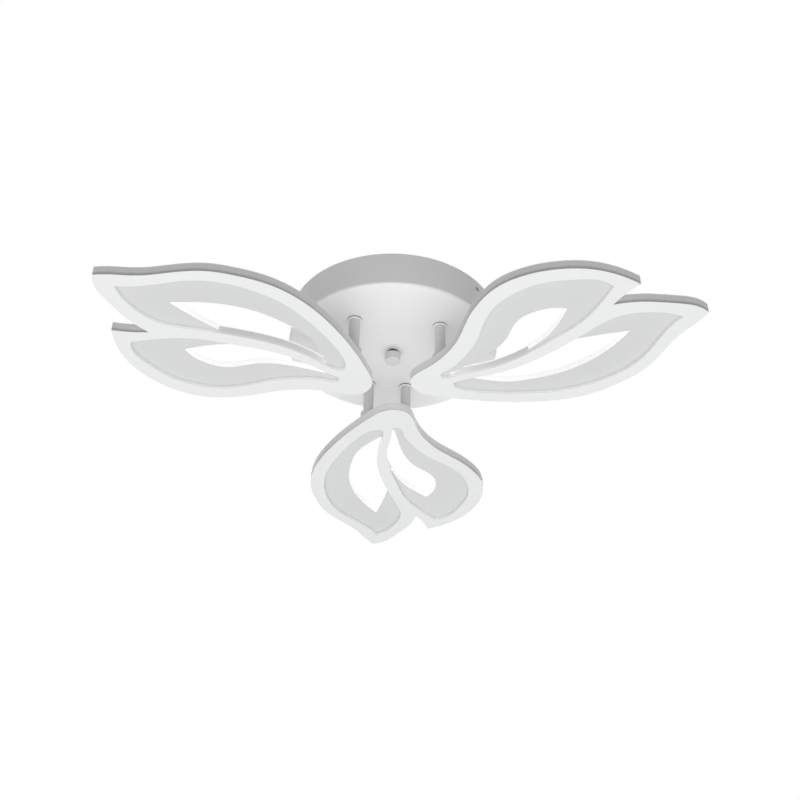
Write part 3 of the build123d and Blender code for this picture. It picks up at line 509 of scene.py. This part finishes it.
frosted, tree, shader, vector = new_finish("frosted_acrylic_plate", IOR=ACRYLIC_IOR)
on_wall = place_group(tree, upright)
slow = place_group(tree, mottling, vector, Scale=7.0)
tooth = place_group(tree, fine_grain, vector, Scale=2200.0, Detail=2.0)
streak = place_group(tree, cut_streaks, vector, Across=520.0, Along=14.0)
face_colour = blend_colours(tree, slow, (0.67, 0.673, 0.673), (0.64, 0.643, 0.643))
# The cut edges are painted paler than the face, as painted light.
wall_colour = blend_colours(tree, streak, (0.93, 0.93, 0.925), (0.89, 0.89, 0.885))
painted_cut_glow(tree, shader, on_wall, PLATE_PAINTED_GLOW)
tree.links.new(blend_colours(tree, on_wall, face_colour, wall_colour), shader.inputs["Base Color"])
tree.links.new(blend_values(tree, tooth, 0.58, 0.72), shader.inputs["Roughness"])
add_bump(tree, shader, tooth, TOOTH_DEPTH, strength=0.4)
print("frosted acrylic made")

# %% [markdown]
# ## Metals inside the canopy
# The mounting plate is galvanised, with the broad crystals of zinc, and the small fixings are bright zinc,
# brass or blackened steel. The crystals are a Voronoi pattern that only moves the tone and the roughness.
# Small fixings take streaks from turning and a fine grain.

# %% Galvanised sheet
METAL_RELIEF = 0.00001

galvanised, tree, shader, vector = new_finish("galvanised_sheet", Metallic=1.0)
crystal = tree.nodes.new("ShaderNodeTexVoronoi")
crystal.inputs["Scale"].default_value = 160.0
tree.links.new(vector, crystal.inputs["Vector"])
crystal_tone = tree.nodes.new("ShaderNodeSeparateColor")
tree.links.new(crystal.outputs["Color"], crystal_tone.inputs[0])
tone = crystal_tone.outputs[0]
zinc_colour = blend_colours(tree, tone, (0.36, 0.37, 0.385), (0.50, 0.51, 0.525))
tree.links.new(zinc_colour, shader.inputs["Base Color"])
tree.links.new(blend_values(tree, tone, 0.38, 0.55), shader.inputs["Roughness"])
add_bump(tree, shader, place_group(tree, fine_grain, vector, Scale=500.0), METAL_RELIEF)
print("galvanised sheet made")

# %% Turned fixings


def turned_metal(name, bright, dull, roughness):
    """Small turned or pressed fixings, with streaks and grain."""
    material, tree, shader, vector = new_finish(name, Metallic=1.0)
    streak = place_group(tree, cut_streaks, vector, Across=160.0, Along=2600.0)
    grain = place_group(tree, fine_grain, vector, Scale=1500.0)
    tree.links.new(blend_colours(tree, grain, bright, dull), shader.inputs["Base Color"])
    tree.links.new(blend_values(tree, streak, *roughness), shader.inputs["Roughness"])
    add_bump(tree, shader, streak, METAL_RELIEF)
    return material


bright_zinc = turned_metal(
    "bright_zinc", bright=(0.56, 0.57, 0.59), dull=(0.46, 0.47, 0.49), roughness=(0.26, 0.42)
)
black_steel = turned_metal(
    "blackened_steel", bright=(0.035, 0.035, 0.038), dull=(0.02, 0.02, 0.022), roughness=(0.4, 0.55)
)
plain_brass = turned_metal(
    "plain_brass", bright=(0.72, 0.52, 0.22), dull=(0.60, 0.42, 0.17), roughness=(0.25, 0.42)
)
print("turned metals made")

# %% [markdown]
# ## Boards, chips and plastics
# Cases and connectors are moulded plastic with a fine spark texture, and leads have a smoother vinyl sheath.
# LED boards are white solder mask on aluminium, which is as even and fine as a plastic, so it shares their
# recipe. The chips are a yellow phosphor in a white package, so their lit face is yellow and their sides
# are white.

# %% Plastics with a fine texture
VINYL_DEPTH = 0.000006


def moulded(name, pale, shade, roughness=(0.42, 0.56), texture=1100.0, depth=0.000015):
    """Moulded plastic or rubber with a spark texture."""
    material, tree, shader, vector = new_finish(name)
    slow = place_group(tree, mottling, vector, Scale=30.0)
    spark = place_group(tree, fine_grain, vector, Scale=texture, Detail=2.0)
    tree.links.new(blend_colours(tree, slow, pale, shade), shader.inputs["Base Color"])
    tree.links.new(blend_values(tree, spark, *roughness), shader.inputs["Roughness"])
    add_bump(tree, shader, spark, depth)
    return material


case_plastic = moulded("driver_case_plastic", (0.78, 0.78, 0.76), (0.74, 0.74, 0.72))
connector_plastic = moulded("connector_plastic", (0.60, 0.60, 0.58), (0.54, 0.54, 0.52))
component_sleeve = moulded("component_sleeves", (0.022, 0.023, 0.028), (0.04, 0.04, 0.045), (0.3, 0.45))
circuit_mask = moulded(
    "circuit_solder_mask", (0.012, 0.10, 0.045), (0.02, 0.14, 0.06), (0.3, 0.42), texture=700.0
)
washer_rubber = moulded("washer_rubber", (0.035, 0.035, 0.036), (0.055, 0.055, 0.055), (0.6, 0.75))
lead_vinyl = moulded(
    "lead_vinyl", (0.76, 0.76, 0.75), (0.72, 0.72, 0.71), (0.32, 0.42), texture=500.0, depth=VINYL_DEPTH
)
board_mask = moulded("led_board_mask", (0.80, 0.80, 0.785), (0.76, 0.76, 0.745), (0.34, 0.46), texture=800.0)
print("plastics made")

# %% LED chips: yellow phosphor on the lit face, white package round it
PACKAGE_WHITE = (0.82, 0.82, 0.80)

led_finish, tree, shader, vector = new_finish("led_phosphor")
package = place_group(tree, upright)
phosphor_grain = place_group(tree, fine_grain, vector, Scale=4000.0)
phosphor = blend_colours(tree, phosphor_grain, (0.80, 0.55, 0.09), (0.72, 0.46, 0.06))
tree.links.new(blend_colours(tree, package, phosphor, PACKAGE_WHITE), shader.inputs["Base Color"])
tree.links.new(blend_values(tree, package, 0.35, 0.5), shader.inputs["Roughness"])
print("LED chips made")

# %% [markdown]
# ## Floor paint
# The floor is a matt near white with a slow mottling. The lamps are meant for the object and leave the floor
# dark, so it has a glow that only the camera sees. It reads pale from above and adds no light to the object.

# %% Floor finish
FLOOR_GLOW = (0.62, 0.62, 0.62)

floor_finish, tree, shader, vector = new_finish("studio_floor_paint", Roughness=0.85)
floor_tone = place_group(tree, mottling, vector, Scale=1.5)
floor_colour = blend_colours(tree, floor_tone, (0.90, 0.90, 0.90), (0.885, 0.885, 0.885))
tree.links.new(floor_colour, shader.inputs["Base Color"])
ray_kind = tree.nodes.new("ShaderNodeLightPath")
floor_glow = blend_colours(tree, ray_kind.outputs["Is Camera Ray"], (0.0, 0.0, 0.0), FLOOR_GLOW)
tree.links.new(floor_glow, shader.inputs["Emission Color"])
shader.inputs["Emission Strength"].default_value = 1.0
floor_mesh.materials.append(floor_finish)
print("materials", len(bpy.data.materials))

# %% [markdown]
# ## Softened edges
# No real edge is perfectly sharp: a cut or painted edge has a tiny round that catches light, and without it a
# piece looks like paper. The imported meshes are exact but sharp. So each main piece is made again from a
# merged copy, whose sharp edges are bevelled by a fraction of a millimetre, and the copy stands for the exact
# piece. Level faces are first dissolved to large ones, because a bevel across thin triangles goes astray. A
# level face that is shaded smoothly into its bevel would look puffed up, so a Weighted Normal modifier lets
# the large faces keep their own normals.

# %% A copy with rounded edges
WELD_DISTANCE = 0.000005
FLAT_ANGLE = math.radians(0.4)
BEVEL_ANGLE = math.radians(32.0)
SHARP_ANGLE = math.radians(40.0)
BEVEL_STEPS = 2
NORMAL_WEIGHT = 90


def bevel_sharp_edges(shape, width):
    """Merges a loose mesh, makes its level faces large and rounds its sharp edges."""
    bmesh.ops.remove_doubles(shape, verts=shape.verts, dist=WELD_DISTANCE)
    bmesh.ops.dissolve_limit(
        shape, angle_limit=FLAT_ANGLE, verts=shape.verts, edges=shape.edges, delimit={"NORMAL"}
    )
    edges = [e for e in shape.edges if e.is_manifold and e.calc_face_angle(0.0) > BEVEL_ANGLE]
    bmesh.ops.bevel(
        shape,
        geom=edges,
        offset=width,
        offset_type="OFFSET",
        segments=BEVEL_STEPS,
        profile=0.5,
        affect="EDGES",
        clamp_overlap=True,
        material=-1,
    )


def softened(node, width, finish, body="lamp"):
    """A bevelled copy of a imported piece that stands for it."""
    mesh = bpy.data.meshes.new(node + "_softened")
    shape = bmesh.new()
    shape.from_mesh(nodes[node].data)
    bevel_sharp_edges(shape, width)
    for face in shape.faces:
        face.smooth = True
    shape.to_mesh(mesh)
    shape.free()
    mesh.set_sharp_from_angle(angle=SHARP_ANGLE)
    mesh.materials.clear()
    mesh.materials.append(finish)
    piece = bpy.data.objects.new(node + "_softened", mesh)
    bpy.context.collection.objects.link(piece)
    even = piece.modifiers.new("even_normals", "WEIGHTED_NORMAL")
    even.mode = "FACE_AREA"
    even.weight = NORMAL_WEIGHT
    even.keep_sharp = True
    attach(piece, body)
    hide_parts(node)
    return piece


# %% [markdown]
# ## The three petals
# Each petal is an opal ring, two frosted plates sunk in it, and a white steel back. They are the same for
# all three petals, so one loop makes them. The ring's edges are the roundest, because laser-cut acrylic is
# flamed. The materials of the ring and the back need to know their outer wall. It is found by starting at
# the wall that lies farthest out and going on to every wall that touches it.

# %% Mark the outer wall of a piece
WALL_NORMAL_Z = 0.5


def mark_outer_wall(piece):
    """Sets the face attribute outer_wall to 1 on the connected wall that holds the farthest point."""
    shape = bmesh.new()
    shape.from_mesh(piece.data)
    layer = shape.faces.layers.float.new("outer_wall")
    shape.faces.ensure_lookup_table()
    walls = {face for face in shape.faces if abs(face.normal.z) < WALL_NORMAL_Z}
    start = max(walls, key=lambda face: face.calc_center_median().xy.length)
    found, waiting = {start}, [start]
    while waiting:
        face = waiting.pop()
        for edge in face.edges:
            for near in edge.link_faces:
                if near in walls and near not in found:
                    found.add(near)
                    waiting.append(near)
    for face in found:
        face[layer] = 1.0
    shape.to_mesh(piece.data)
    shape.free()
    return len(found), len(walls)


# %% Petals
RING_EDGE = 0.00035
PLATE_EDGE = 0.0002

for side in SIDES:
    ring = softened(side + "_diffuser", RING_EDGE, opal)
    outer_count, wall_count = mark_outer_wall(ring)
    for which in ("major", "minor"):
        softened(side + "_" + which + "_light_plate", PLATE_EDGE, frosted)
    mark_outer_wall(softened(side + "_back_plate", PLATE_EDGE, back_paint))
    print(side, "ring faces", len(ring.data.polygons), "outer wall", outer_count, "of", wall_count)

# %% [markdown]
# ## Canopy, rods and cap nut
# The canopy is spun steel, so its open rim is rounded by the coat of paint. The rods and their feet are
# turned parts whose small chamfers show as light rings. The cap nut rides on a body of its own, because it
# turns on its stud.

# %% Canopy, rods and cap nut
PAINTED_EDGE = 0.0003
SCREW_EDGE = 0.0002
TURNED_EDGE = 0.00015

softened("canopy_cover", PAINTED_EDGE, canopy_paint)
softened("cap_nut", PAINTED_EDGE, cap_paint, body="cap")
softened("wall_screw", SCREW_EDGE, cap_paint)
for side in SIDES:
    softened(side + "_rod_feet", PAINTED_EDGE, foot_paint)
    for which in ("major", "minor"):
        softened(side + "_" + which + "_rod", TURNED_EDGE, rod_paint)
print("canopy and rods made")

# %% [markdown]
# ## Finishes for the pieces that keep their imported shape
# Fixings, boards and the parts inside the canopy are right as they are, and only need their finish. A table
# from record slot to material keeps this in one place.

# %% Finish by slot
finish_of = {
    "zinc_sheet": galvanised,
    "zinc_bright": bright_zinc,
    "screw_dark": black_steel,
    "brass_screw": plain_brass,
    "washer_black": washer_rubber,
    "board_white": board_mask,
    "led_yellow": led_finish,
    "driver_white": case_plastic,
    "circuit_green": circuit_mask,
    "component_dark": component_sleeve,
    "connector_grey": connector_plastic,
    "lead_white": lead_vinyl,
}
slot_of = {part["node"]: part["material_slot"] for part in frame["record"]["subparts"]}
kept = 0
for name, piece in nodes.items():
    finish = finish_of.get(slot_of[name])
    if finish is not None:
        piece.data.materials.clear()
        piece.data.materials.append(finish)
        kept += 1
print("packed pieces with a new finish", kept)

# %% [markdown]
# ## Last cell
# It only imports the json module.

# %% Import json
import json
